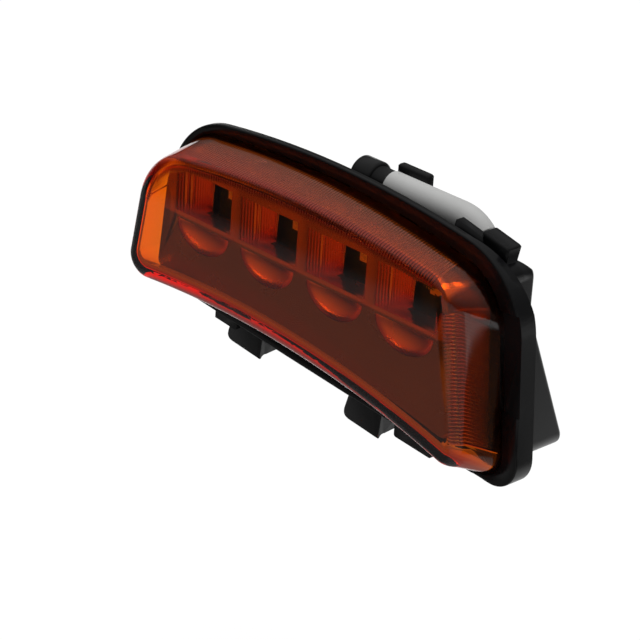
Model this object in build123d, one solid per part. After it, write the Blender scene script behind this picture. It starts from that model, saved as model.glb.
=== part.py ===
# A snap-in LED side repeater lamp: amber lens, fluted four-bowl reflector, board and black housing.
#
# Frame, in millimetres: X runs along the lamp, +Y goes back into the vehicle and +Z is up. The origin is
# on the face of the panel, midway between the bottom corners of the flange and level with the LED row.

from build123d import *
import math
import os

# Flange outline, as seen from the front: four corners before rounding, then rises and radii
flange_bottom_length = 143.0
flange_top_length = 128.3
flange_top_shift = 1.85
flange_left_top = 16.1
flange_right_top = 14.2
flange_left_bottom = -34.0
flange_right_bottom = -46.0
flange_top_rise = 6.3
flange_bottom_rise = -0.4
flange_radii = (24.0, 24.0, 8.0, 8.0)
flange_thickness = 2.0
flange_edge_radius = 0.5

# Lip along the bottom of the flange, as (left, right, drop), deeper towards both ends
lip_spans = ((-45.0, -36.0, 2.2), (-40.0, 41.0, 0.2), (27.0, 41.0, 3.6))
lip_thickness = 1.4
lip_corner = 0.8

# Skirt behind the flange, which follows a curved panel back at the lower right end
skirt_depth = 4.2
skirt_wall = 1.8
skirt_ramp_angle = -32.0
skirt_ramp_start = 31.0
skirt_ramp_length = 24.0
pry_notch_depth = 0.8
pry_notch_top = 3.0
pry_notch_bottom = -24.0

# Lens: where its foot and its front stand inside the flange corners, as (inwards in X, inwards in Z)
lens_wall = 2.2
lens_seat_depth = 0.8
lens_seat_gap = 0.15
lens_depth = 16.6
lens_front_slope = 2.5
lens_foot_insets = ((2.0, 2.5), (5.7, 4.2), (5.0, 0.9), (3.0, 2.2))
lens_foot_rises = (6.0, 4.0)
lens_foot_radii = (20.0, 18.0, 6.5, 8.0)
lens_front_insets = ((6.8, 3.5), (10.5, 3.7), (7.4, 6.0), (9.5, 8.4))
lens_front_rises = (5.0, 7.0)
lens_front_radii = (20.0, 8.0, 5.5, 6.0)

# Rounding of the lens's front edges: top, right, bottom and left
lens_edge_radii = (1.2, 4.5, 3.2, 3.0)
lens_rounding_steps = 6
lens_floor_draft = 0.8

# Ribs inside the lens, from front to back along its top and its right end
rib_pitch = 0.93
rib_depth = 0.3
plain_step = 2.5

# Reflector: foot and front inside the flange corners, and its four bowls
reflector_wall = 1.5
reflector_front = -12.5
reflector_foot_insets = ((6.6, 6.0), (10.2, 7.6), (11.2, 7.8), (8.6, 7.4))
reflector_front_insets = ((9.3, 5.2), (13.5, 6.2), (15.5, 14.0), (15.0, 10.5))
reflector_rises = (3.6, 3.6)
reflector_radii = (11.0, 7.0, 2.0, 2.0)
led_count = 4
led_pitch = 25.8
led_level = 0.8
bowl_mouth_width = 22.8
bowl_top = 7.0
bowl_ledge = -5.4
bowl_wall = 1.3
bowl_rim = 1.0
window_width = 8.4
window_height = 9.6
window_plane = -5.0
window_drop = 1.0
flute_count = 15
flute_height = 0.22
dish_width = 21.0
dish_drop = 7.6
dish_depth = 4.6
ledge_thickness = 1.2

# Tub behind the flange: plan insets and the side section
tub_wall = 2.0
tub_insets = ((7.3, 2.8), (5.8, 2.2), (10.8, 0.9), (7.5, 2.2))
tub_rises = (4.0, -0.6)
tub_radii = (9.0, 4.0, 5.0, 5.0)
tub_shoulder_y = 3.7
tub_shoulder_z = 16.1
tub_waist_y = 10.3
tub_waist_z = 10.4
tub_knee_z = -1.0
tub_foot_y = 29.6
tub_foot_z = -46.0
opening_margin = 4.4
edge_round = 1.2

# Bottom tabs, top lug and its ridge
tab_lefts = (-43.8, 4.0)
tab_width = 14.2
tab_drop = 12.2
tab_front_y = 2.6
tab_nose = 1.2
tab_length = 6.8
tab_edge = 0.7
tab_barb = 1.0
tab_barb_run = 1.8
tab_heel = 0.4
tab_lean = 2.6
tab_corner = 2.2
tab_wall = 1.8
lug_width = 9.6
lug_length = 5.4
lug_height = 8.0
lug_centre = (51.2, 5.7)
lug_top_z = 17.8
lug_tilt = 12.0
lug_edge_radius = 0.9
ridge_length = 10.0
ridge_thickness = 2.4
ridge_lap = 1.0
ridge_top_z = 18.0

# Circuit board and what is soldered to it
board_front = -1.0
board_thickness = 1.6
board_length = 90.0
board_bottom = -12.0
board_top = 6.2
board_corner = 3.0
led_width = 3.0
led_height = 2.8
led_thickness = 1.2
led_dome_radius = 1.0
screw_spots = ((-25.8, 2.4), (25.8, 2.4), (0.0, -8.6))
screw_core = 2.5
screw_length = 7.0
screw_head = 5.0
screw_head_height = 1.8
screw_clearance = 0.4
boss_diameter = 6.0
chip_size = (6.0, 1.8, 5.0)
chip_spot = (-10.0, -2.0)
choke_size = (7.0, 4.2, 7.0)
choke_spot = (10.5, -2.0)
diode_size = (4.4, 2.3, 2.7)
diode_spot = (20.0, -7.0)
capacitor_diameter = 5.2
capacitor_height = 5.2
capacitor_edge = 0.4
capacitor_spots = ((-17.5, 3.0), (17.5, 3.0))
resistor_size = (3.2, 0.7, 1.6)
resistor_spots = ((-36.0, -5.0), (-36.0, -1.5), (-36.0, 2.0))
header_size = (6.4, 4.0, 4.4)
header_spot = (40.0, -5.5)

# Lead: it leaves a turret on the back of the tub, bends round and runs along the top to the connector
lead_diameter = 5.6
lead_axis_y = 15.2
lead_axis_z = 13.4
lead_bend_radius = 11.0
lead_drop_x = 40.0
turret_width = 12.0
turret_depth = 9.4
turret_top = 0.5
turret_height = 12.0
turret_roof = 2.0
grommet_diameter = 9.4
grommet_hole = 7.6
grommet_lip = 1.3
grommet_room = 0.6
passage_height = 4.0
core_diameter = 1.5
core_spacing = 2.4
core_bend = 2.2
label_thickness = 1.4
label_left = 3.7
label_turn = 42.0
connector_diameter = 10.0
connector_left = -8.2
connector_right = 3.6
connector_collar = 7.0
connector_neck = 8.0
connector_socket_diameter = 7.6
connector_socket_depth = 5.2
connector_mouth_edge = 0.4
connector_edge = 1.0
pin_diameter = 1.5
pin_length = 5.6
pin_spacing = 3.2
seal_ring_section = 0.8
sheath_entry = 4.2

# Cradle that holds the lead behind the tub
cradle_left = 0.4
cradle_width = 11.6
cradle_floor = 2.2
cradle_post = 2.8
cradle_gap = 0.2
cradle_rise = 8.8
cradle_edge = 0.9

# Breather in the rear wall
breather_diameter = 8.0
breather_spot = (-34.0, 4.0)
breather_stem = 4.0
breather_cap = 2.0

fit_gap = 0.1
reach = 200.0


def front_plane(y):
    """A plane facing the front at depth y, whose own X and Y are the lamp's X and Z."""
    return Plane(origin=(0, y, 0), x_dir=(1, 0, 0), z_dir=(0, -1, 0))


def flange_corners():
    """Top left, top right, bottom right and bottom left corners of the flange."""
    half_top = flange_top_length / 2
    half_bottom = flange_bottom_length / 2
    return (
        (flange_top_shift - half_top, flange_left_top),
        (flange_top_shift + half_top, flange_right_top),
        (half_bottom, flange_right_bottom),
        (-half_bottom, flange_left_bottom),
    )


def inset_corners(insets):
    """Flange corners moved inwards by their own amounts in X and Z."""
    signs = ((1, -1), (-1, -1), (-1, 1), (1, 1))
    moved = []
    for corner, inset, sign in zip(flange_corners(), insets, signs):
        moved.append((corner[0] + sign[0] * inset[0], corner[1] + sign[1] * inset[1]))
    return tuple(moved)


def outline(corners, rises, radii):
    """A four-cornered face with arched top and bottom edges and rounded corners."""
    points = [Vector(x, z) for x, z in corners]
    top_left, top_right, bottom_right, bottom_left = points
    top_middle = (top_left + top_right) * 0.5 + Vector(0, rises[0])
    bottom_middle = (bottom_left + bottom_right) * 0.5 + Vector(0, rises[1])
    edges = [
        ThreePointArc(top_left, top_middle, top_right),
        Line(top_right, bottom_right),
        ThreePointArc(bottom_right, bottom_middle, bottom_left),
        Line(bottom_left, top_left),
    ]
    face = Face(Wire(edges))
    for point, radius in zip(points, radii):
        corner = face.vertices().sort_by_distance(point)[0]
        face = face.fillet_2d(radius, [corner])
    return face


def placed(face, plane):
    """A face drawn in X and Y, laid on a plane."""
    return plane.location * face


def slab(face, y_front, y_back):
    """A face drawn in X and Z, made solid between two depths."""
    return extrude(placed(face, front_plane(y_back)), y_back - y_front, dir=(0, -1, 0))


def between(face_a, plane_a, face_b, plane_b):
    """A ruled solid from one face to another."""
    wires = [placed(face_a, plane_a).outer_wire(), placed(face_b, plane_b).outer_wire()]
    return Solid.make_loft(wires, ruled=True)


def shrunk(face, amount):
    """A face with its edge moved inwards."""
    return offset(face, -amount).face()


def cylinder_along(axis, start, length, diameter):
    """A cylinder from a start point along the X, Y or Z axis."""
    direction = {"X": (1, 0, 0), "Y": (0, 1, 0), "Z": (0, 0, 1)}[axis]
    return extrude(Plane(origin=start, z_dir=direction) * Circle(diameter / 2), length)


def led_places():
    """Centres of the LEDs along X."""
    first = -led_pitch * (led_count - 1) / 2
    return [first + index * led_pitch for index in range(led_count)]


flange_face = outline(flange_corners(), (flange_top_rise, flange_bottom_rise), flange_radii)
foot_y = -(flange_thickness - lens_seat_depth)
lens_foot_face = outline(inset_corners(lens_foot_insets), lens_foot_rises, lens_foot_radii)
slope_run = math.tan(math.radians(lens_front_slope))
lens_front_y = -(flange_thickness + lens_depth)


def lens_front_plane(behind=0.0):
    """The lamp's front face turns a little towards +X, so the lens is deeper at its left end."""
    return Plane(origin=(0, lens_front_y + behind, 0), x_dir=(1, slope_run, 0), z_dir=(slope_run, -1, 0))


def rounded_in(radius, behind):
    """How far a rounded front edge stands in from its side wall, at a depth behind the front."""
    rest = max(0.0, radius - behind)
    return radius - math.sqrt(radius**2 - rest**2)


def lens_section(behind):
    """The lens outline at a depth behind its front: drafted, and rounded in by each side's own radius."""
    share = behind / (foot_y - lens_front_y)
    top, right, bottom, left = (rounded_in(radius, behind) for radius in lens_edge_radii)
    turns = ((left, top), (right, top), (right, bottom), (left, bottom))
    insets = []
    radii = []
    for index, (turn_x, turn_z) in enumerate(turns):
        front, foot = Vector(*lens_front_insets[index]), Vector(*lens_foot_insets[index])
        inset = front + (foot - front) * share + Vector(turn_x, turn_z)
        insets.append((inset.X, inset.Y))
        radius = lens_front_radii[index] + (lens_foot_radii[index] - lens_front_radii[index]) * share
        radii.append(radius - (turn_x + turn_z) / 2)
    rises = [front + (foot - front) * share for front, foot in zip(lens_front_rises, lens_foot_rises)]
    return outline(inset_corners(insets), rises, radii)


def edge_runs(face):
    """An outline's edges clockwise from the top, each with whether it is drawn that way round."""
    edges = list(face.outer_wire().order_edges())
    top = max(range(len(edges)), key=lambda index: edges[index].center().Y)
    edges = edges[top:] + edges[:top]
    if edges[1].center().X < edges[0].center().X:
        edges = edges[:1] + edges[:0:-1]
    runs = []
    for edge, following in zip(edges, edges[1:] + edges[:1]):
        runs.append((edge, following.distance_to(edge @ 1) < following.distance_to(edge @ 0)))
    return runs


def rib_steps():
    """How many points each edge of the lens's inside gets, and which edges are ribbed."""
    ribbed_sides = ("top", "right", "top left")
    sides = ("top", "top right", "right", "bottom right", "bottom", "bottom left", "left", "top left")
    steps = []
    for side, (edge, forwards) in zip(sides, edge_runs(lens_foot_face)):
        ribbed = side in ribbed_sides
        count = 2 * round(edge.length / rib_pitch) if ribbed else round(edge.length / plain_step)
        steps.append((count, ribbed))
    return steps


def core_points(face, plane):
    """The inside of the lens one wall in from an outline, with a groove at every second point."""
    points = []
    for (edge, forwards), (count, ribbed) in zip(edge_runs(face), rib_steps()):
        for step in range(count):
            share = step / count if forwards else 1 - step / count
            along = edge.tangent_at(share) * (1 if forwards else -1)
            groove = rib_depth if ribbed and step % 2 else 0.0
            point = edge.position_at(share) + Vector(along.Y, -along.X) * (lens_wall - groove)
            points.append(plane.from_local_coords(point))
    return points


def ribbed_core(foot, front):
    """A solid between two rings of points, with two flat faces from each point to the next."""
    faces = [Face(Wire.make_polygon(foot)), Face(Wire.make_polygon(front))]
    for index, near in enumerate(foot):
        following = (index + 1) % len(foot)
        faces.append(Face(Wire.make_polygon([near, foot[following], front[index]])))
        faces.append(Face(Wire.make_polygon([foot[following], front[following], front[index]])))
    return Solid(Shell(faces))


def make_outer_lens():
    """Amber cover: drafted walls, a front rounded by each side's own radius, and ribs inside."""
    waist = max(lens_edge_radii)
    turns = [math.pi / 2 * step / lens_rounding_steps for step in range(lens_rounding_steps + 1)]
    depths = [waist * (1 - math.sin(turn)) for turn in turns]
    walls = between(lens_foot_face, front_plane(foot_y), lens_section(waist), lens_front_plane(waist))
    rounding = [placed(lens_section(depth), lens_front_plane(depth)).outer_wire() for depth in depths]
    floor = ((0, 0), (0, 0), (0, lens_floor_draft), (0, lens_floor_draft))
    insets = [(x + more_x, z + more_z) for (x, z), (more_x, more_z) in zip(lens_front_insets, floor)]
    core_front = outline(inset_corners(insets), lens_front_rises, lens_front_radii)
    core = ribbed_core(
        core_points(lens_foot_face, front_plane(foot_y)),
        core_points(core_front, lens_front_plane(lens_wall)),
    )
    return walls + Solid.make_loft(rounding) - core


def flute_points(side):
    """One wall of a bowl in plan, from its window out to its mouth, as ridges along a parabola."""
    inner = window_width / 2
    outer = bowl_mouth_width / 2
    depth = window_plane - reflector_front
    points = []
    for step in range(2 * flute_count + 1):
        half = inner + (outer - inner) * step / (2 * flute_count)
        lift = flute_height if step % 2 else 0.0
        y = window_plane - depth * (half**2 - inner**2) / (outer**2 - inner**2)
        points.append((side * (half - lift), y - lift))
    return points


def bowl_plan(fluted):
    """The plan of one bowl: the fluted hollow, or the plain outside of its wall."""
    if fluted:
        right = flute_points(1)
        left = flute_points(-1)
        past = reflector_front - bowl_wall
        ends = [(right[-1][0], past), (left[-1][0], past)]
        return right + ends + left[::-1]
    inner = window_width / 2 + bowl_wall
    outer = bowl_mouth_width / 2 + bowl_wall / 2
    waist = (inner + outer) / 2
    middle = (window_plane + reflector_front) / 2 + bowl_wall
    front = reflector_front + reflector_wall / 2
    right = [(inner, window_plane + fit_gap), (waist + bowl_wall, middle), (outer, front)]
    return right + [(-x, y) for x, y in reversed(right)]


def upright(points, x, z_low, z_high):
    """A plan polygon at x, raised from one level to another."""
    corners = [(x + px, py) for px, py in points]
    face = Plane.XY.offset(z_low) * Polygon(*corners, align=None)
    return extrude(face, z_high - z_low, dir=(0, 0, 1))


def dish(x, extra):
    """The smooth half bowl under a ledge."""
    ball = scale(Sphere(1), by=(dish_width / 2 + extra, dish_depth + extra, dish_drop + extra))
    top = bowl_ledge - ledge_thickness + extra
    half = ball & Pos(0, 0, -reach / 2) * Box(reach, reach, reach)
    return Pos(x, reflector_front, top) * half


def make_reflector():
    """Metallised moulding: a drafted shell with a front plate, four bowls and four dishes."""
    foot_face = outline(inset_corners(reflector_foot_insets), reflector_rises, reflector_radii)
    front_face = outline(inset_corners(reflector_front_insets), reflector_rises, reflector_radii)
    foot = front_plane(-flange_thickness)
    shell = between(foot_face, foot, front_face, front_plane(reflector_front))
    inside = between(
        shrunk(foot_face, reflector_wall), foot,
        shrunk(front_face, reflector_wall), front_plane(reflector_front + reflector_wall),
    )
    body = shell - inside
    mouths = slab(shrunk(front_face, bowl_rim), reflector_front - bowl_wall, window_plane)
    for x in led_places():
        low = led_level + bowl_ledge - bowl_wall
        high = led_level + bowl_top + bowl_wall
        body += upright(bowl_plan(False), x, low, high) & shell
        body += dish(x, bowl_wall) & shell
    for x in led_places():
        body -= upright(bowl_plan(True), x, led_level + bowl_ledge, led_level + bowl_top) & mouths
        body -= dish(x, 0.0)
        window = Pos(x, window_plane, led_level - window_drop)
        body -= window * Box(window_width, 4 * bowl_wall, window_height)
    return body


def section_face():
    """Side section of the tub in Y and Z: sloping top, upright waist, back leaning out to the foot."""
    fall = (tub_waist_y - tub_shoulder_y) / (tub_shoulder_z - tub_waist_z)
    far = reach / 4
    points = [
        (-far, far),
        (tub_shoulder_y - fall * (far - tub_shoulder_z), far),
        (tub_waist_y, tub_waist_z),
        (tub_waist_y, tub_knee_z),
        (tub_foot_y, tub_foot_z),
        (tub_foot_y, -far),
        (-far, -far),
    ]
    return Polygon(*points, align=None).face()


def along_x(face, x_from, x_to):
    """A face drawn in Y and Z, made solid between two places along the lamp."""
    plane = Plane(origin=(x_from, 0, 0), x_dir=(0, 1, 0), z_dir=(1, 0, 0))
    return extrude(placed(face, plane), x_to - x_from, dir=(1, 0, 0))


def back_y(z):
    """Depth of the tub's back at a level below its waist."""
    lean = (tub_foot_y - tub_waist_y) / (tub_knee_z - tub_foot_z)
    return tub_waist_y + max(0.0, tub_knee_z - z) * lean


def bottom_z(x):
    """Level of the tub's underside at a place along the lamp."""
    corners = inset_corners(tub_insets)
    right, left = corners[2], corners[3]
    share = (x - left[0]) / (right[0] - left[0])
    return left[1] + share * (right[1] - left[1])


tub_face = outline(inset_corners(tub_insets), tub_rises, tub_radii)


def tub_block():
    """The outside of the tub, with its back edges rounded."""
    block = slab(tub_face, -flange_thickness, reach / 4) & along_x(section_face(), -reach / 2, reach / 2)
    back_edges = block.edges().filter_by(lambda edge: edge.center().Y > tub_shoulder_y)
    return fillet(back_edges, edge_round)


def tub_hollow():
    """The inside of the tub, open towards the lens."""
    section = along_x(shrunk(section_face(), tub_wall), -reach / 2, reach / 2)
    return slab(shrunk(tub_face, tub_wall), 0, reach / 4) & section


def skirt():
    """The wall behind the flange's edge, cut back where the panel stands closer."""
    ring = slab(flange_face, -flange_thickness / 2, skirt_depth)
    ring -= slab(shrunk(flange_face, skirt_wall), -flange_thickness, reach / 4)
    angle = math.radians(skirt_ramp_angle)
    ramp_end = skirt_ramp_start + skirt_ramp_length
    points = [(-reach, 0), (skirt_ramp_start, 0), (ramp_end, skirt_depth), (reach, skirt_depth)]
    points += [(reach, reach), (-reach, reach)]
    plane = Plane(
        origin=(0, 0, 0),
        x_dir=(math.cos(angle), 0, math.sin(angle)),
        z_dir=(-math.sin(angle), 0, math.cos(angle)),
    )
    return ring - extrude(plane * Polygon(*points, align=None), reach, both=True)


def pry_notch():
    """A shallow recess for a tool along the flange's right edge."""
    height = pry_notch_top - pry_notch_bottom
    middle = (pry_notch_top + pry_notch_bottom) / 2
    window = Pos(reach / 4 + flange_bottom_length / 4, middle) * Rectangle(reach / 2, height)
    rim = flange_face - lens_foot_face
    return slab((rim & window).face(), -2 * flange_thickness, pry_notch_depth - flange_thickness)


def bottom_lip(left, right, drop):
    """One stretch of the lip that stands below the flange's bottom edge."""
    height = flange_left_top - flange_right_bottom
    window = Pos((left + right) / 2, flange_right_bottom) * Rectangle(right - left, height)
    face = (Pos(0, -drop) * flange_face & window).face()
    corners = face.vertices().group_by(Axis.Y)[0] + face.vertices().sort_by(Axis.X)[:1]
    return slab(face.fillet_2d(lip_corner, corners), -lip_thickness, 0)


def bottom_tab(left):
    """A catch under the tub: an upright block with a barb along its foot, hollow behind."""
    half = tab_width / 2
    back = tab_front_y + tab_length
    nose = tab_front_y + tab_nose
    web = -tab_drop + tab_barb
    bend = (nose + tab_barb_run / 4, -tab_drop + 3 * tab_barb / 4)
    side = [
        Line((tab_front_y, tub_wall), (tab_front_y, -tab_drop)),
        Line((tab_front_y, -tab_drop), (nose, -tab_drop)),
        ThreePointArc((nose, -tab_drop), bend, (nose + tab_barb_run, web)),
        Line((nose + tab_barb_run, web), (back, web + tab_heel)),
        Line((back, web + tab_heel), (back, tub_wall)),
        Line((back, tub_wall), (tab_front_y, tub_wall)),
    ]
    corners = [(tab_lean - half, tub_wall), (-half, -tab_drop), (half, -tab_drop), (half, tub_wall)]
    shape = Polygon(*corners, align=None)
    corner = shape.vertices().sort_by(Axis.X)[0]
    front = shape.face().fillet_2d(tab_corner, [corner])
    tab = along_x(Face(Wire(side)), -half, half) & slab(front, 0, reach / 4)
    tab = chamfer(tab.faces().sort_by(Axis.Y)[0].edges(), tab_edge)
    room = Pos(0, back, 0) * Box(tab_width - 2 * tab_lean, 2 * (tab_length - tab_wall), 2 * (-web - tab_wall))
    left_z, right_z = bottom_z(left), bottom_z(left + tab_width)
    turn = math.degrees(math.atan2(left_z - right_z, tab_width))
    return Pos(left + half, 0, (left_z + right_z) / 2) * Rot(0, turn, 0) * (tab - room)


def soft_block(length, depth, height, edge):
    """A block with rounded upright edges and a bevel round its top."""
    block = Box(length, depth, height)
    block = fillet(block.edges().filter_by(Axis.Z), edge)
    return chamfer(block.faces().sort_by(Axis.Z)[-1].edges(), edge / 2)


def top_lug():
    """The block that catches the panel at the top right, and the low ridge beside it."""
    lug = soft_block(lug_width, lug_length, lug_height, lug_edge_radius)
    lug = Pos(lug_centre[0], lug_centre[1], lug_top_z - lug_height / 2) * Rot(0, lug_tilt, 0) * lug
    ridge = Box(ridge_length, ridge_thickness, lug_height)
    ridge = fillet(ridge.edges().filter_by(Axis.Y), lug_edge_radius / 2)
    ridge_x = lug_centre[0] - lug_width / 2 - ridge_length / 2 + ridge_lap
    ridge_y = lug_centre[1] - lug_length / 2 + ridge_thickness / 2
    return [lug, Pos(ridge_x, ridge_y, ridge_top_z - lug_height / 2) * Rot(0, lug_tilt, 0) * ridge]


def cradle():
    """The shelf and post that hold the lead against the sloping top of the tub."""
    radius = lead_diameter / 2 + label_thickness
    shelf_top = lead_axis_z - radius - cradle_gap
    post_front = lead_axis_y + radius + cradle_gap
    back = post_front + cradle_post
    front = tub_waist_y - tub_wall
    middle = cradle_left + cradle_width / 2
    shelf = Pos(middle, (front + back) / 2, shelf_top - cradle_floor / 2)
    shelf *= Box(cradle_width, back - front, cradle_floor)
    post_height = cradle_rise + cradle_floor
    post = Pos(middle, back - cradle_post / 2, shelf_top - cradle_floor + post_height / 2)
    post *= soft_block(cradle_width, cradle_post, post_height, cradle_edge)
    return [shelf, post]


def turret():
    """The hood on the tub's back that the lead goes up through."""
    bottom = turret_top - turret_height
    height = turret_top - bottom
    block = Box(turret_width, 2 * turret_depth, height)
    block = fillet(block.edges().filter_by(Axis.Z), edge_round)
    return Pos(lead_drop_x, lead_axis_y - turret_depth / 3, bottom + height / 2) * block


def turret_hollow():
    """The room under the turret's roof and the passage into the tub."""
    room_top = turret_top - turret_roof
    room_height = passage_height + grommet_lip
    room = cylinder_along("Z", (lead_drop_x, lead_axis_y, room_top - room_height), room_height,
                          grommet_diameter + grommet_room)
    hole = cylinder_along("Z", (lead_drop_x, lead_axis_y, room_top), turret_roof, grommet_hole)
    width = grommet_diameter - 2 * grommet_lip
    length = lead_axis_y - board_front
    passage = Pos(lead_drop_x, lead_axis_y - length / 2, room_top - room_height + passage_height / 2)
    return [room, hole, passage * Box(width, length, passage_height)]


def boss(spot):
    """A hollow post from the tub's back to the board."""
    x, z = spot
    start = board_front + board_thickness
    post = cylinder_along("Y", (x, start, z), back_y(z) - start, boss_diameter)
    return post - cylinder_along("Y", (x, start, z), screw_length - board_thickness + fit_gap, screw_core)


def make_rear_housing():
    """One black moulding: flange, skirt, tub, tabs, lug, cradle and turret."""
    flange = slab(flange_face, -flange_thickness, 0)
    flange = fillet(flange.faces().sort_by(Axis.Y)[0].edges(), flange_edge_radius)
    block = tub_block()
    body = flange + block + skirt()
    for left, right, drop in lip_spans:
        body += bottom_lip(left, right, drop)
    for left in tab_lefts:
        body += bottom_tab(left)
    for extra in top_lug() + cradle() + [turret()]:
        body += extra
    opening = shrunk(lens_foot_face, lens_wall + opening_margin)
    body -= slab(opening, -2 * flange_thickness, fit_gap)
    body -= tub_hollow()
    seat = offset(lens_foot_face, lens_seat_gap).face()
    body -= slab(seat, -2 * flange_thickness, foot_y)
    body -= pry_notch()
    for hollow in turret_hollow():
        body -= hollow
    x, z = breather_spot
    body -= cylinder_along("Y", (x, tub_waist_y - 2 * tub_wall, z), 3 * tub_wall, breather_stem)
    for spot in screw_spots:
        body += boss(spot) & block
    return body


def make_led_board():
    """Board with rounded corners and three screw holes."""
    height = board_top - board_bottom
    face = Pos(0, (board_top + board_bottom) / 2) * RectangleRounded(board_length, height, board_corner)
    board = slab(face.face(), board_front, board_front + board_thickness)
    for x, z in screw_spots:
        board -= cylinder_along("Y", (x, board_front, z), board_thickness, screw_core + screw_clearance)
    return board


def make_led(x):
    """A package with a low round lens on its face."""
    back = board_front
    package = Pos(x, back - led_thickness / 2, led_level) * Box(led_width, led_thickness, led_height)
    dome = Pos(x, back - led_thickness, led_level) * Sphere(led_dome_radius)
    return package + dome


def on_board_back(size, spot):
    """A block soldered to the back of the board; size is along X, Y and Z."""
    y = board_front + board_thickness + size[1] / 2
    return Pos(spot[0], y, spot[1]) * Box(*size)


def make_capacitor(spot):
    """A round can standing on the back of the board."""
    start = (spot[0], board_front + board_thickness, spot[1])
    can = cylinder_along("Y", start, capacitor_height, capacitor_diameter)
    return chamfer(can.faces().sort_by(Axis.Y)[-1].edges(), capacitor_edge)


def make_board_screws():
    """Three pan head screws, from the front of the board into the bosses."""
    screws = []
    for x, z in screw_spots:
        head = cylinder_along("Y", (x, board_front - screw_head_height, z), screw_head_height, screw_head)
        head = chamfer(head.faces().sort_by(Axis.Y)[0].edges(), screw_head_height / 3)
        shank = cylinder_along("Y", (x, board_front, z), screw_length, screw_core)
        screws.append(head + shank)
    return Compound(children=[screw.solid() for screw in screws])


def lead_path(x_from, turn):
    """The lead's line: along the top from x_from, then round the bend by turn degrees."""
    bend_x = lead_drop_x - lead_bend_radius
    run = Line((x_from, lead_axis_y, lead_axis_z), (bend_x, lead_axis_y, lead_axis_z))
    centre_z = lead_axis_z - lead_bend_radius
    points = []
    for share in (0.5, 1.0):
        angle = math.radians(90 - turn * share)
        x = bend_x + lead_bend_radius * math.cos(angle)
        points.append((x, lead_axis_y, centre_z + lead_bend_radius * math.sin(angle)))
    return [run, ThreePointArc((bend_x, lead_axis_y, lead_axis_z), *points)]


def tube(edges, start, direction, outer, inner=0.0):
    """A round bar or pipe swept along joined edges."""
    path = Wire(edges)
    plane = Plane(origin=start, z_dir=direction)
    section = plane * Circle(outer / 2)
    if inner:
        section -= plane * Circle(inner / 2)
    return sweep(section, path)


def make_lead_sheath():
    """The lead from inside the connector to the room under the turret's roof."""
    start_x = connector_right - sheath_entry
    edges = lead_path(start_x, 90)
    bend_end = lead_axis_z - lead_bend_radius
    low = turret_top - turret_roof - grommet_lip
    edges.append(Line((lead_drop_x, lead_axis_y, bend_end), (lead_drop_x, lead_axis_y, low)))
    return tube(edges, (start_x, lead_axis_y, lead_axis_z), (1, 0, 0), lead_diameter)


def make_lead_label():
    """White wrap along the lead, as far as the start of its bend."""
    edges = lead_path(label_left, label_turn)
    start = (label_left, lead_axis_y, lead_axis_z)
    return tube(edges, start, (1, 0, 0), lead_diameter + 2 * label_thickness, lead_diameter)


def make_lead_core(side):
    """One core from the end of the sheath, round under the turret and forward to the header."""
    x = lead_drop_x + side * core_spacing / 2
    top = turret_top - turret_roof - grommet_lip
    level = header_spot[1]
    header_back = board_front + board_thickness + header_size[1]
    points = [(x, lead_axis_y, top), (x, lead_axis_y, level), (x, header_back, level)]
    path = FilletPolyline(*points, radius=core_bend)
    return sweep(Plane(origin=points[0], z_dir=(0, 0, -1)) * Circle(core_diameter / 2), path)


def make_lead_grommet():
    """Rubber bush in the turret's roof: a lip above, a neck and a lip below."""
    top = turret_top
    roof_under = top - turret_roof
    spot = (lead_drop_x, lead_axis_y)
    bush = cylinder_along("Z", (*spot, top), grommet_lip, grommet_diameter)
    bush += cylinder_along("Z", (*spot, roof_under), turret_roof, grommet_hole)
    bush += cylinder_along("Z", (*spot, roof_under - grommet_lip), grommet_lip, grommet_diameter)
    return bush - cylinder_along("Z", (*spot, top - reach / 4), reach / 2, lead_diameter)


def pin_places():
    """Levels of the connector's two pins."""
    return {"a": pin_spacing / 2, "b": -pin_spacing / 2}


def make_connector_body():
    """Round connector: a collar with an open socket at its left, then a neck round the lead."""
    start = (connector_left, lead_axis_y, lead_axis_z)
    collar = cylinder_along("X", start, connector_collar, connector_diameter)
    collar = chamfer(collar.faces().sort_by(Axis.X)[0].edges(), connector_mouth_edge)
    collar = fillet(collar.faces().sort_by(Axis.X)[-1].edges(), connector_edge)
    body = collar + cylinder_along("X", start, connector_right - connector_left, connector_neck)
    body -= cylinder_along("X", start, connector_socket_depth, connector_socket_diameter)
    entry = (connector_right - sheath_entry, lead_axis_y, lead_axis_z)
    body -= cylinder_along("X", entry, sheath_entry, lead_diameter)
    for lift in pin_places().values():
        hole = (connector_left, lead_axis_y, lead_axis_z + lift)
        body -= cylinder_along("X", hole, pin_run(), pin_diameter)
    return body


def pin_run():
    """How far a pin reaches in from the connector's open end."""
    return connector_right - sheath_entry - connector_left


def make_connector_pin(lift):
    """One round pin, from the end of the sheath out into the socket."""
    end_x = connector_right - sheath_entry
    pin = cylinder_along("X", (end_x - pin_length, lead_axis_y, lead_axis_z + lift), pin_length, pin_diameter)
    return chamfer(pin.faces().sort_by(Axis.X)[0].edges(), pin_diameter / 4)


def make_connector_seal():
    """Ring seal at the bottom of the socket."""
    start = (connector_left + connector_socket_depth - seal_ring_section, lead_axis_y, lead_axis_z)
    outer = connector_socket_diameter - 2 * fit_gap
    ring = cylinder_along("X", start, seal_ring_section, outer)
    return ring - cylinder_along("X", start, seal_ring_section, outer - 2 * seal_ring_section)


def make_breather_plug():
    """Vent plug in the tub's upright waist."""
    x, z = breather_spot
    stem = cylinder_along("Y", (x, tub_waist_y - tub_wall, z), tub_wall, breather_stem)
    cap = cylinder_along("Y", (x, tub_waist_y, z), breather_cap, breather_diameter)
    return stem + chamfer(cap.faces().sort_by(Axis.Y)[-1].edges(), breather_cap / 3)


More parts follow.
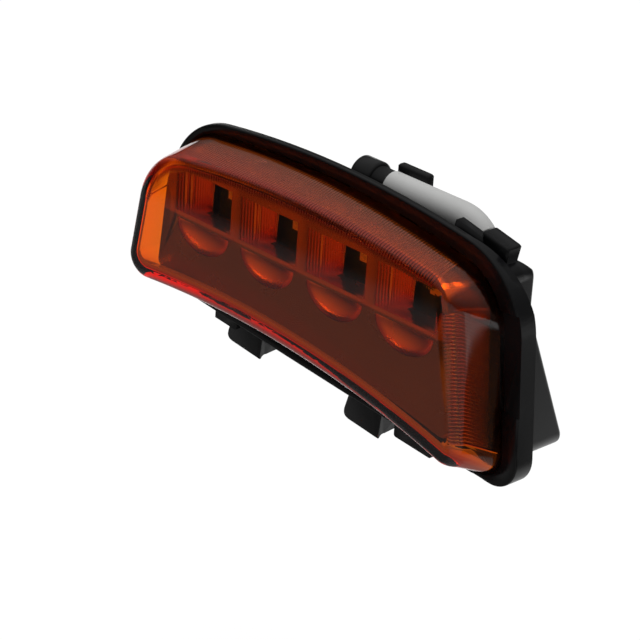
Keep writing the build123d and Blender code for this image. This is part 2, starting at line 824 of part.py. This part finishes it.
parts = {
    "outer_lens": make_outer_lens(),
    "reflector": make_reflector(),
    "rear_housing": make_rear_housing(),
    "led_board": make_led_board(),
    "driver_chip": on_board_back(chip_size, chip_spot),
    "choke": on_board_back(choke_size, choke_spot),
    "reverse_diode": on_board_back(diode_size, diode_spot),
    "wire_header": on_board_back(header_size, header_spot),
    "board_screws": make_board_screws(),
    "lead_sheath": make_lead_sheath(),
    "lead_label": make_lead_label(),
    "lead_core_a": make_lead_core(-1),
    "lead_core_b": make_lead_core(1),
    "lead_grommet": make_lead_grommet(),
    "connector_body": make_connector_body(),
    "connector_seal": make_connector_seal(),
    "breather_plug": make_breather_plug(),
}
for number, x in enumerate(led_places(), start=1):
    parts[f"led_{number}"] = make_led(x)
for number, spot in enumerate(capacitor_spots, start=1):
    parts[f"capacitor_{number}"] = make_capacitor(spot)
for number, spot in enumerate(resistor_spots, start=1):
    parts[f"resistor_{number}"] = on_board_back(resistor_size, spot)
for letter, lift in pin_places().items():
    parts[f"connector_pin_{letter}"] = make_connector_pin(lift)

os.makedirs("parts", exist_ok=True)
for name, shape in parts.items():
    export_step(shape, f"parts/{name}.step")
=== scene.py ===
# %% [markdown]
# # A side repeater lamp in Blender
# The lamp is a small amber indicator that snaps into a vehicle's body panel. Its solids come from the CAD
# model as a fixed frame, in metres. This lesson gives every solid its finish, sets the light and puts the
# camera where the photograph was taken.

# %% Load the frame
import math

import bmesh
import bpy
from mathutils import Matrix, Vector


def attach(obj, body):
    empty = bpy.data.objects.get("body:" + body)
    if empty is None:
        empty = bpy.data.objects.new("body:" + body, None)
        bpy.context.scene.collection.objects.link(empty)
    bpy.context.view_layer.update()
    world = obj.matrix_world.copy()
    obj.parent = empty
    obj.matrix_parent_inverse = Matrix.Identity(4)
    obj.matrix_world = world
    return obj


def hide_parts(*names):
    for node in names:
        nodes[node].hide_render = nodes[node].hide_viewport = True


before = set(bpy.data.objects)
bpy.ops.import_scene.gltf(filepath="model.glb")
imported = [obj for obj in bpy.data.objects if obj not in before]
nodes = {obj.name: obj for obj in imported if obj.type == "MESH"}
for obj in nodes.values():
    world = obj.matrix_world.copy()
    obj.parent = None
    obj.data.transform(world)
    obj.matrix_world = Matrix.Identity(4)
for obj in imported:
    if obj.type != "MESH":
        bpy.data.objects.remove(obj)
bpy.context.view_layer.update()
print("nodes:", len(nodes))

# %% [markdown]
# ## The camera
# The photograph looks at the lamp from its front right and a little above, through a long lens, and the
# lamp leans by a few degrees in the picture. The camera is set from those three angles and one point.

# %% Camera
view_azimuth = math.radians(45.0)
view_elevation = math.radians(24.5)
view_roll = math.radians(4.0)
camera_place = Vector((0.470158, -0.475015, 0.281325))
focal_length = 154.3
sensor_width = 36.0


def view_axes():
    """Right, up and back of the camera."""
    flat = math.cos(view_elevation)
    back = Vector((math.sin(view_azimuth) * flat, -math.cos(view_azimuth) * flat, math.sin(view_elevation)))
    level = Vector((math.cos(view_azimuth), math.sin(view_azimuth), 0.0))
    upward = back.cross(level)
    right = level * math.cos(view_roll) + upward * math.sin(view_roll)
    return right, back.cross(right), back


def set_camera():
    """The scene's camera, at the photograph's place and angle."""
    data = bpy.data.cameras.new("photo_camera")
    data.lens = focal_length
    data.sensor_width = sensor_width
    camera = bpy.data.objects.new("photo_camera", data)
    bpy.context.collection.objects.link(camera)
    right, up, back = view_axes()
    turn = Matrix((right, up, back)).transposed().to_4x4()
    camera.matrix_world = Matrix.Translation(camera_place) @ turn
    bpy.context.scene.camera = camera
    return camera


camera = set_camera()
print("camera at", tuple(round(v, 3) for v in camera.matrix_world.translation))

# %% [markdown]
# ## Smooth mouldings
# The solids arrive as loose flat triangles, and on gloss plastic each one would show as a facet. A copy
# with its triangles joined can be shaded smooth, with an edge kept sharp wherever two faces meet at more
# than a small angle. The copies stand for the pieces that show. Only the lens is changed: the sharp edge
# inside its front is rounded, as a moulding tool would leave it, so that light crosses an even wall there
# and the ribs run out over the edge as fine teeth. A bevel would stumble over the ribs, so the front of the
# hollow is cut away first and then closed again.

# %% Front of the lens's hollow
inside_radius = 0.0022
lens_middle = -0.009
front_level = 0.995


def looks_back(face):
    """Whether a face of the lens lies flat and looks back: the inside of its front, or its foot."""
    return face.normal.y > front_level


def is_floor(face):
    """Whether a face is the inside of the lens's front."""
    return looks_back(face) and face.calc_center_median().y < lens_middle


def hollow_faces(lens):
    """The faces of the lens's inside, from its front to its foot, in the same order on every run."""
    found = dict.fromkeys(face for face in lens.faces if is_floor(face))
    waiting = list(found)
    while waiting:
        for edge in waiting.pop().edges:
            for face in edge.link_faces:
                foot = looks_back(face) and not is_floor(face)
                if face not in found and not foot:
                    found[face] = None
                    waiting.append(face)
    return list(found)


def cut_front(lens):
    """Takes away the front of the hollow. Returns the opening's edges and the way to the front."""
    hollow = hollow_faces(lens)
    floor = max((face for face in hollow if is_floor(face)), key=bmesh.types.BMFace.calc_area)
    back = floor.normal.copy()
    place = floor.calc_center_median() + back * inside_radius
    parts = dict.fromkeys(part for face in hollow for part in (*face.verts, *face.edges, face))
    cut = bmesh.ops.bisect_plane(
        lens, geom=list(parts), plane_co=place, plane_no=back, clear_inner=True,
    )
    edges = [part for part in cut["geom_cut"] if isinstance(part, bmesh.types.BMEdge)]
    return edges, -back


# %% [markdown]
# The cut leaves a ring of points, some on the ribs and some between them. From each point a short curve
# turns over to the front. Its direction is averaged along the ring, so that neighbouring curves don't
# cross, and a flat face closes what is left. A new face has no normal, and it is laid out by its normal when
# it is cut into triangles, so that is set first.

# %% Rounded edge
inside_steps = 5
ease_length = 0.003
ease_points = 16


def walk_round(edges):
    """The points of the opening in order."""
    beside = {}
    for edge in edges:
        for vert in edge.verts:
            beside.setdefault(vert, []).append(edge.other_vert(vert))
    ring = [edges[0].verts[0]]
    following = beside[ring[0]][0]
    while following is not ring[0]:
        before = ring[-1]
        ring.append(following)
        following = next(vert for vert in beside[following] if vert is not before)
    return ring


def eased_run(ring, index):
    """Which way the opening runs at a point, averaged over its ribs."""
    here = ring[index].co
    run = Vector()
    for offset in range(-ease_points, ease_points):
        near = ring[(index + offset) % len(ring)].co
        far = ring[(index + offset + 1) % len(ring)].co
        away = ((near + far) / 2 - here).length
        run += (far - near) * max(0.0, 1.0 - away / ease_length)
    return run


def round_over(lens, ring, index, forward, middle):
    """New points from the opening's edge round to the front."""
    vert = ring[index]
    inward = eased_run(ring, index).cross(forward).normalized()
    if inward.dot(middle - vert.co) < 0:
        inward.negate()
    wall = sum((face.normal for face in vert.link_faces), Vector()).normalized()
    lean = wall.dot(forward) / math.sqrt(1.0 - wall.dot(forward) ** 2)
    start = vert.co.copy()
    corner = start + (forward - inward * lean) * inside_radius
    end = corner + inward * inside_radius
    points = [vert]
    for step in range(1, inside_steps + 1):
        share = step / inside_steps
        point = start.lerp(corner, share).lerp(corner.lerp(end, share), share)
        points.append(lens.verts.new(point))
    return points


def round_inside(lens):
    """Rounds the edge between the lens's front and its walls, on the inside."""
    edges, forward = cut_front(lens)
    lens.normal_update()
    ring = walk_round(edges)
    middle = sum((vert.co for vert in ring), Vector()) / len(ring)
    turns = [round_over(lens, ring, index, forward, middle) for index in range(len(ring))]
    for near, far in zip(turns, turns[1:] + turns[:1]):
        for step in range(inside_steps):
            lens.faces.new((near[step], far[step], far[step + 1], near[step + 1]))
    floor = lens.faces.new([turn[-1] for turn in turns])
    floor.normal_update()
    bmesh.ops.triangulate(lens, faces=[floor], ngon_method="EAR_CLIP")
    bmesh.ops.recalc_face_normals(lens, faces=lens.faces)
    return len(ring)


# %% [markdown]
# Each copy has its doubled points merged before it is shaded. The front of the lens stays flat shaded,
# inside and outside, because smooth shading would bend what it mirrors near the edge.

# %% Smooth copies
merge_distance = 0.000002
sharp_angle = math.radians(25.0)
smooth_nodes = {
    "outer_lens": "amber_lens",
    "reflector": "metallised_plastic",
    "rear_housing": "black_housing",
    "lead_sheath": "lead_sheath",
    "lead_label": "white_label",
    "lead_grommet": "black_rubber",
    "connector_body": "connector_black",
    "breather_plug": "breather_plastic",
}
shown = dict(nodes)


def smooth_copy(name):
    """A copy of a node with joined triangles, shaded smooth up to the sharp angle."""
    mesh = nodes[name].data.copy()
    joined = bmesh.new()
    joined.from_mesh(mesh)
    bmesh.ops.remove_doubles(joined, verts=joined.verts, dist=merge_distance)
    if name == "outer_lens":
        print("points round the inside of the lens:", round_inside(joined))
    joined.to_mesh(mesh)
    joined.free()
    mesh.shade_smooth()
    mesh.set_sharp_from_angle(angle=sharp_angle)
    if name == "outer_lens":
        for face in mesh.polygons:
            face.use_smooth = abs(face.normal.y) < front_level
    piece = bpy.data.objects.new(f"{name}_moulding", mesh)
    bpy.context.collection.objects.link(piece)
    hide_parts(name)
    shown[name] = piece
    return len(mesh.polygons)


for name, slot in smooth_nodes.items():
    print(name, "faces:", smooth_copy(name))

# %% [markdown]
# ## Building materials from nodes
# Each finish starts as one Principled shader. The helpers below make that shader, set its plain values
# and join nodes, so that a finish reads as a short list of what it is.

# %% Material helpers
white = (1.0, 1.0, 1.0, 1.0)


def new_finish(name, **values):
    """A material with one Principled shader and its plain socket values."""
    finish = bpy.data.materials.new(name)
    finish.use_nodes = True
    shader = finish.node_tree.nodes["Principled BSDF"]
    for socket, value in values.items():
        shader.inputs[socket.replace("_", " ")].default_value = value
    return finish, shader


def add_node(tree, kind, **settings):
    """A node of one kind with its properties set."""
    node = tree.nodes.new(kind)
    for key, value in settings.items():
        setattr(node, key, value)
    return node


def add_math(tree, operation, *values):
    """A math node on sockets or plain numbers."""
    node = add_node(tree, "ShaderNodeMath", operation=operation)
    for socket, value in zip(node.inputs, values):
        if isinstance(value, (int, float)):
            socket.default_value = value
        else:
            tree.links.new(value, socket)
    return node.outputs[0]


def wear(node_names, finish):
    """Puts a finish on the pieces that stand for these nodes."""
    for name in node_names:
        slots = shown[name].data.materials
        slots.clear()
        slots.append(finish)
    print(finish.name, "on", ", ".join(node_names))


# %% [markdown]
# ## Moulded grain
# Moulded plastic, rubber and film are never quite even: the tool leaves a fine grain, and handling leaves
# patches that are a little duller. Several finishes share that, so it is one group with named inputs.

# %% Moulded grain group
grain_inputs = {"Grain Scale": 4000.0, "Patch Scale": 60.0, "Roughness": 0.4, "Spread": 0.1}
grain_outputs = ("Roughness", "Height", "Patch")
grain_detail = 2.0
patch_detail = 4.0
patch_middle = 0.5


def make_grain_group():
    """Roughness and height that vary with a fine grain and broad patches."""
    tree = bpy.data.node_groups.new("moulded_grain", "ShaderNodeTree")
    sockets = tree.interface
    for name, value in grain_inputs.items():
        made = sockets.new_socket(name, in_out="INPUT", socket_type="NodeSocketFloat")
        made.default_value = value
    for name in grain_outputs:
        sockets.new_socket(name, in_out="OUTPUT", socket_type="NodeSocketFloat")
    entry = add_node(tree, "NodeGroupInput")
    leave = add_node(tree, "NodeGroupOutput")
    place = add_node(tree, "ShaderNodeTexCoord")
    grain = add_node(tree, "ShaderNodeTexNoise")
    patch = add_node(tree, "ShaderNodeTexNoise")
    grain.inputs["Detail"].default_value = grain_detail
    patch.inputs["Detail"].default_value = patch_detail
    centred = add_math(tree, "SUBTRACT", patch.outputs["Fac"], patch_middle)
    spread, rough = entry.outputs["Spread"], entry.outputs["Roughness"]
    varied = add_math(tree, "MULTIPLY_ADD", centred, spread, rough)
    join = tree.links.new
    join(place.outputs["Object"], grain.inputs["Vector"])
    join(place.outputs["Object"], patch.inputs["Vector"])
    join(entry.outputs["Grain Scale"], grain.inputs["Scale"])
    join(entry.outputs["Patch Scale"], patch.inputs["Scale"])
    join(varied, leave.inputs["Roughness"])
    join(grain.outputs["Fac"], leave.inputs["Height"])
    join(patch.outputs["Fac"], leave.inputs["Patch"])
    return tree


grain_group = make_grain_group()
print("grain group sockets:", len(grain_group.interface.items_tree))

# %% [markdown]
# A finish takes its roughness from the group. Where a depth is given, the grain also feeds a bump, and
# where a tint is given, that second colour comes in with the patches.

# %% Grain in a finish
bump_strength = 0.6


def add_grain(finish, shader, depth=0.0, tint=None, **values):
    """Puts the grain into a finish: its roughness and, where given, a bump and a second colour."""
    tree = finish.node_tree
    join = tree.links.new
    group = add_node(tree, "ShaderNodeGroup", node_tree=grain_group)
    for socket, value in values.items():
        group.inputs[socket.replace("_", " ")].default_value = value
    join(group.outputs["Roughness"], shader.inputs["Roughness"])
    if depth:
        bump = add_node(tree, "ShaderNodeBump")
        bump.inputs["Strength"].default_value = bump_strength
        bump.inputs["Distance"].default_value = depth
        join(group.outputs["Height"], bump.inputs["Height"])
        join(bump.outputs["Normal"], shader.inputs["Normal"])
    if tint:
        mix = add_node(tree, "ShaderNodeMix", data_type="RGBA")
        mix.inputs["A"].default_value = shader.inputs["Base Color"].default_value
        mix.inputs["B"].default_value = tint
        join(group.outputs["Patch"], mix.inputs["Factor"])
        join(mix.outputs["Result"], shader.inputs["Base Color"])


# %% [markdown]
# ## The amber lens
# The lens is clear amber acrylic, a little over two millimetres thick. A surface colour alone would look
# like painted glass, so the colour comes from absorption inside the wall: light that crosses more plastic
# comes out redder. Shadow rays meet a clear shader instead, so that the softbox reaches the inside. Light
# that the wall has turned back once meets the same clear shader and leaves straight on. Real acrylic would
# guide it further, but then the rim would show only the black seat under the lens's foot.

# %% Amber lens
lens_index = 1.49
amber_passed = (0.988, 0.73, 0.05, 1.0)
amber_density = 1300.0
crossings_inside = 1.0
half_count = 0.5
millimetre = 0.001


def make_amber_finish():
    """Clear acrylic that absorbs all but red and some green."""
    finish, shader = new_finish(
        "amber_acrylic",
        Base_Color=white,
        IOR=lens_index,
        Transmission_Weight=1.0,
    )
    add_grain(finish, shader, Patch_Scale=35.0, Roughness=0.02, Spread=0.03)
    tree = finish.node_tree
    path = add_node(tree, "ShaderNodeLightPath")
    clear = add_node(tree, "ShaderNodeBsdfTransparent")
    choose = add_node(tree, "ShaderNodeMixShader")
    amber = add_node(tree, "ShaderNodeVolumeAbsorption")
    amber.inputs["Color"].default_value = amber_passed
    amber.inputs["Density"].default_value = amber_density
    end = tree.nodes["Material Output"]
    join = tree.links.new
    turned = add_math(tree, "GREATER_THAN", path.outputs["Glossy Depth"], half_count)
    crossings = path.outputs["Transmission Depth"]
    within = add_math(tree, "COMPARE", crossings, crossings_inside, half_count)
    leaving = add_math(tree, "MULTIPLY", turned, within)
    join(add_math(tree, "MAXIMUM", path.outputs["Is Shadow Ray"], leaving), choose.inputs["Fac"])
    join(shader.outputs["BSDF"], choose.inputs[1])
    join(clear.outputs["BSDF"], choose.inputs[2])
    join(choose.outputs["Shader"], end.inputs["Surface"])
    join(amber.outputs["Volume"], end.inputs["Volume"])
    return finish


wear(["outer_lens"], make_amber_finish())
left_over = [math.exp(-amber_density * (1.0 - part) * millimetre) for part in amber_passed[:3]]
print("red, green and blue left after a millimetre:", [round(part, 2) for part in left_over])

# %% [markdown]
# ## The reflector
# The reflector is moulded plastic with a thin film of metal. Its colour stands in for light and shade: it is
# brighter and warmer in and round the bowls as painted light, duller on the flat plate below them, which is
# masked by depth and height, and darker at the right end as painted shade.

# %% Reflector
plate_depth = -0.0124
hollow_depth = -0.0119
ledge_low = -0.0062
ledge_high = -0.0054
end_start = 0.051
end_stop = 0.0525
# The bowl colour is painted light and the end colour is painted shade.
bowl_painted_light = (0.9, 0.46, 0.27, 1.0)
plate_film = (0.36, 0.28, 0.24, 1.0)
end_painted_shade = (0.22, 0.07, 0.03, 1.0)


def add_step(tree, value, low, high):
    """A smooth step from 0 at one value to 1 at another."""
    step = add_node(tree, "ShaderNodeMapRange", interpolation_type="SMOOTHSTEP")
    step.inputs["From Min"].default_value = low
    step.inputs["From Max"].default_value = high
    tree.links.new(value, step.inputs["Value"])
    return step.outputs["Result"]


def make_metallised_finish():
    """Metal film, its colour masked into painted light in the bowls, a duller plate and painted shade at the
    right end.
    """
    finish, shader = new_finish("metallised_film", Metallic=1.0)
    add_grain(
        finish, shader, depth=0.00001,
        Grain_Scale=900.0, Patch_Scale=80.0, Roughness=0.26, Spread=0.12,
    )
    tree = finish.node_tree
    join = tree.links.new
    place = add_node(tree, "ShaderNodeTexCoord")
    split = add_node(tree, "ShaderNodeSeparateXYZ")
    join(place.outputs["Object"], split.inputs["Vector"])
    hollow = add_step(tree, split.outputs["Y"], plate_depth, hollow_depth)
    above = add_step(tree, split.outputs["Z"], ledge_low, ledge_high)
    # The bowl mask carries painted light, and the end mask below it carries painted shade.
    bowl_light_mask = add_math(tree, "MAXIMUM", hollow, above)
    end = add_step(tree, split.outputs["X"], end_start, end_stop)
    inner = add_node(tree, "ShaderNodeMix", data_type="RGBA")
    inner.inputs["A"].default_value = bowl_painted_light
    inner.inputs["B"].default_value = end_painted_shade
    mix = add_node(tree, "ShaderNodeMix", data_type="RGBA")
    mix.inputs["A"].default_value = plate_film
    join(end, inner.inputs["Factor"])
    join(bowl_light_mask, mix.inputs["Factor"])
    join(inner.outputs["Result"], mix.inputs["B"])
    join(mix.outputs["Result"], shader.inputs["Base Color"])
    return finish


wear(["reflector"], make_metallised_finish())

# %% [markdown]
# ## Black plastics and rubber
# The housing, connector and breather are satin black mouldings, the lead has a softer sheath, the grommet
# is rubber and the connector's seal is red silicone. They share the grain and differ in colour, gloss and
# depth.

# %% Plastics and rubber


def make_patchy_finish(name, colour, tint, roughness, spread=0.12, depth=0.00002, **values):
    """A finish with the grain, and with a second colour in patches."""
    finish, shader = new_finish(name, Base_Color=colour, **values)
    add_grain(finish, shader, depth=depth, tint=tint, Roughness=roughness, Spread=spread)
    return finish


housing_black = make_patchy_finish(
    "housing_black", colour=(0.0025, 0.0025, 0.0028, 1.0), tint=(0.005, 0.005, 0.0054, 1.0),
    roughness=0.3, Specular_IOR_Level=0.22,
)
connector_black = make_patchy_finish(
    "connector_black", colour=(0.003, 0.003, 0.0035, 1.0), tint=(0.006, 0.006, 0.006, 1.0),
    roughness=0.3, spread=0.1, Specular_IOR_Level=0.3,
)
sheath_black = make_patchy_finish(
    "sheath_black", colour=(0.005, 0.005, 0.0055, 1.0), tint=(0.009, 0.009, 0.009, 1.0),
    roughness=0.5, spread=0.16, depth=0.00003, Specular_IOR_Level=0.25,
)
rubber_black = make_patchy_finish(
    "rubber_black", colour=(0.007, 0.007, 0.007, 1.0), tint=(0.013, 0.012, 0.012, 1.0),
    roughness=0.65, spread=0.15, depth=0.00003, Specular_IOR_Level=0.3,
)
seal_red = make_patchy_finish(
    "seal_red", colour=(0.25, 0.05, 0.025, 1.0), tint=(0.32, 0.07, 0.03, 1.0),
    roughness=0.55, Specular_IOR_Level=0.4,
)
wear(["rear_housing"], housing_black)
wear(["connector_body", "breather_plug"], connector_black)
wear(["lead_sheath"], sheath_black)
wear(["lead_grommet"], rubber_black)
wear(["connector_seal"], seal_red)

# %% [markdown]
# ## The white label
# A bare white film is wrapped round the lead. It is matt and slightly greyer in patches. Its colour is set
# below that of white film as painted shade, so that it comes out as bright as in the photograph.

# %% Label
# Both label colours are white darkened with painted shade; the greyer patches are the film's own.
label_white_with_painted_shade = (0.4, 0.4, 0.395, 1.0)
label_patch_with_painted_shade = (0.35, 0.35, 0.345, 1.0)


def make_label_finish():
    """Matt film with a fine grain and greyer patches."""
    finish, shader = new_finish("label_film", Base_Color=label_white_with_painted_shade, Specular_IOR_Level=0.4)
    add_grain(
        finish, shader, depth=0.00003, tint=label_patch_with_painted_shade,
        Grain_Scale=1500.0, Patch_Scale=120.0, Roughness=0.5, Spread=0.15,
    )
    return finish


wear(["lead_label"], make_label_finish())

# %% [markdown]
# ## Board, LEDs and small components
# The electronics sit behind the reflector. The LEDs show through its windows, so their packages get a pale
# face, with a faint glow that stands for the room light on them, and the board gets its solder mask. The
# other parts are mostly hidden, and take the plain finishes of their kind.

# %% Electronics
led_glow = {"Emission_Color": (1.0, 0.35, 0.08, 1.0), "Emission_Strength": 0.12}
bare_metal = {"Metallic": 1.0}

board_mask = make_patchy_finish(
    "board_mask", colour=(0.08, 0.2, 0.09, 1.0), tint=(0.1, 0.24, 0.11, 1.0), roughness=0.4,
)
led_face = make_patchy_finish(
    "led_face", colour=(0.8, 0.66, 0.3, 1.0), tint=(0.85, 0.72, 0.36, 1.0), roughness=0.3, **led_glow,
)
black_epoxy = make_patchy_finish(
    "black_epoxy", colour=(0.02, 0.02, 0.022, 1.0), tint=(0.03, 0.03, 0.03, 1.0), roughness=0.5,
)
grey_ferrite = make_patchy_finish(
    "grey_ferrite", colour=(0.1, 0.1, 0.105, 1.0), tint=(0.14, 0.14, 0.14, 1.0), roughness=0.6,
)
can_metal = make_patchy_finish(
    "can_metal", colour=(0.7, 0.71, 0.73, 1.0), tint=(0.62, 0.63, 0.65, 1.0), roughness=0.3, **bare_metal,
)
wear(["led_board"], board_mask)
wear(["led_1", "led_2", "led_3", "led_4"], led_face)
wear(["driver_chip", "reverse_diode", "resistor_1", "resistor_2", "resistor_3"], black_epoxy)
wear(["choke"], grey_ferrite)
wear(["capacitor_1", "capacitor_2"], can_metal)

# %% [markdown]
# The last finishes are those of what carries the current in and holds the board: the header, the two cores,
# the connector's pins and the screws.

# %% Header, cores, pins and screws
header_white = make_patchy_finish(
    "header_white", colour=(0.75, 0.72, 0.62, 1.0), tint=(0.68, 0.65, 0.55, 1.0), roughness=0.45,
)
screw_zinc = make_patchy_finish(
    "screw_zinc", colour=(0.62, 0.62, 0.64, 1.0), tint=(0.5, 0.5, 0.52, 1.0), roughness=0.32, **bare_metal,
)
core_brown = make_patchy_finish(
    "core_brown", colour=(0.12, 0.045, 0.02, 1.0), tint=(0.16, 0.06, 0.03, 1.0), roughness=0.45,
)
pin_brass = make_patchy_finish(
    "pin_brass", colour=(0.75, 0.58, 0.26, 1.0), tint=(0.65, 0.48, 0.2, 1.0), roughness=0.25, **bare_metal,
)
wear(["wire_header"], header_white)
wear(["board_screws"], screw_zinc)
wear(["lead_core_a"], core_brown)
wear(["lead_core_b"], black_epoxy)
wear(["connector_pin_a", "connector_pin_b"], pin_brass)

# %% [markdown]
# ## The stage
# The lamp is held by its panel mount, so it stands clear of a pale floor. The floor is plain white where the
# camera sees it. In mirror images and through the lens it has levels, read from the photograph's
# reflections: white behind the lamp, grey below it and to its front right, and dark at its front left and
# in a pool beyond its right end.

# %% Floor
floor_level = -0.13
floor_half = 3.0
white_start = (0.02, 0.1)
grey_start = (-0.261, -0.245)
grey_level = 0.2
pale_start = (-0.05, 0.1)
pale_level = 0.4
right_pool = (0.44, 0.1, floor_level)
right_edge = (0.19, 0.34)
right_level = 0.03
floor_paper = (0.8, 0.8, 0.8, 1.0)
floor_corners = ((-1, -1), (1, -1), (1, 1), (-1, 1))
glow_share = 0.95
glow_level = 1.03
ray_kinds = ("Camera", "Glossy", "Transmission")


def add_floor_level(tree):
    """The brightness of the floor: 1 behind the lamp, less in front of it and in the pool."""
    place = add_node(tree, "ShaderNodeTexCoord").outputs["Object"]
    split = add_node(tree, "ShaderNodeSeparateXYZ")
    tree.links.new(place, split.inputs["Vector"])
    grey = add_math(tree, "MULTIPLY", add_step(tree, split.outputs["Y"], *grey_start), grey_level)
    pale = add_math(tree, "MULTIPLY", add_step(tree, split.outputs["X"], *pale_start), pale_level)
    front = add_math(tree, "MAXIMUM", grey, pale)
    floor = add_math(tree, "MAXIMUM", add_step(tree, split.outputs["Y"], *white_start), front)
    away = add_node(tree, "ShaderNodeVectorMath", operation="DISTANCE")
    away.inputs[1].default_value = right_pool
    tree.links.new(place, away.inputs[0])
    right = add_math(tree, "MAXIMUM", add_step(tree, away.outputs["Value"], *right_edge), right_level)
    return add_math(tree, "MINIMUM", floor, right)


def make_floor():
    """A plain floor, white to the camera and mirrored with its levels."""
    mesh = bpy.data.meshes.new("floor")
    points = [(x * floor_half, y * floor_half, floor_level) for x, y in floor_corners]
    mesh.from_pydata(points, [], [range(len(points))])
    floor = bpy.data.objects.new("floor", mesh)
    bpy.context.collection.objects.link(floor)
    finish, shader = new_finish(
        "floor_paper", Base_Color=floor_paper, Roughness=0.9, Specular_IOR_Level=0.0,
    )
    mesh.materials.append(finish)
    tree = finish.node_tree
    join = tree.links.new
    path = add_node(tree, "ShaderNodeLightPath")
    glow = add_node(tree, "ShaderNodeEmission")
    glow.inputs["Strength"].default_value = glow_level
    choose = add_node(tree, "ShaderNodeMixShader")
    direct, mirrored, through = (path.outputs[f"Is {kind} Ray"] for kind in ray_kinds)
    level = add_math(tree, "MAXIMUM", add_floor_level(tree), direct)
    seen = add_math(tree, "MAXIMUM", direct, add_math(tree, "MAXIMUM", mirrored, through))
    join(level, glow.inputs["Color"])
    join(add_math(tree, "MULTIPLY", seen, glow_share), choose.inputs["Fac"])
    join(shader.outputs["BSDF"], choose.inputs[1])
    join(glow.outputs["Emission"], choose.inputs[2])
    join(choose.outputs["Shader"], tree.nodes["Material Output"].inputs["Surface"])
    return floor


floor = make_floor()
print("floor at", round(floor.data.vertices[0].co.z, 3))

# %% [markdown]
# ## Light
# The light is a soft grey room, brighter towards its ceiling, with a wide softbox overhead. The softbox
# stays out of reflections, so the lens mirrors the even room, as it does in the photograph.

# %% Lights
horizon_level = 0.05
ceiling_level = 0.55
softbox_place = (-0.1, 0.15, 0.9)
softbox_width = 0.8
softbox_height = 0.6
softbox_power = 9.5


def make_room():
    """An even grey room that grows brighter towards its ceiling."""
    world = bpy.data.worlds.new("studio_room")
    world.use_nodes = True
    bpy.context.scene.world = world
    tree = world.node_tree
    air = tree.nodes["Background"]
    air.inputs["Color"].default_value = white
    around = add_node(tree, "ShaderNodeTexCoord")
    split = add_node(tree, "ShaderNodeSeparateXYZ")
    rise = add_node(tree, "ShaderNodeMapRange")
    rise.inputs["To Min"].default_value = horizon_level
    rise.inputs["To Max"].default_value = ceiling_level
    tree.links.new(around.outputs["Generated"], split.inputs["Vector"])
    tree.links.new(split.outputs["Z"], rise.inputs["Value"])
    tree.links.new(rise.outputs["Result"], air.inputs["Strength"])


def add_softbox(name):
    """An area light that faces the lamp and stays out of reflections."""
    data = bpy.data.lights.new(name, "AREA")
    data.shape = "RECTANGLE"
    data.size = softbox_width
    data.size_y = softbox_height
    data.energy = softbox_power
    light = bpy.data.objects.new(name, data)
    light.location = softbox_place
    light.rotation_euler = Vector(softbox_place).to_track_quat("Z", "Y").to_euler()
    light.visible_glossy = False
    bpy.context.collection.objects.link(light)
    return light


make_room()
softbox = add_softbox("softbox_top")
print("softbox:", round(softbox.data.energy, 2), "W")

# %% [markdown]
# ## Finish
# The view transform stays plain, and every piece that is shown is attached to the root body.

# %% Attach the pieces
for piece in shown.values():
    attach(piece, "root")
bpy.context.scene.view_settings.view_transform = "Standard"
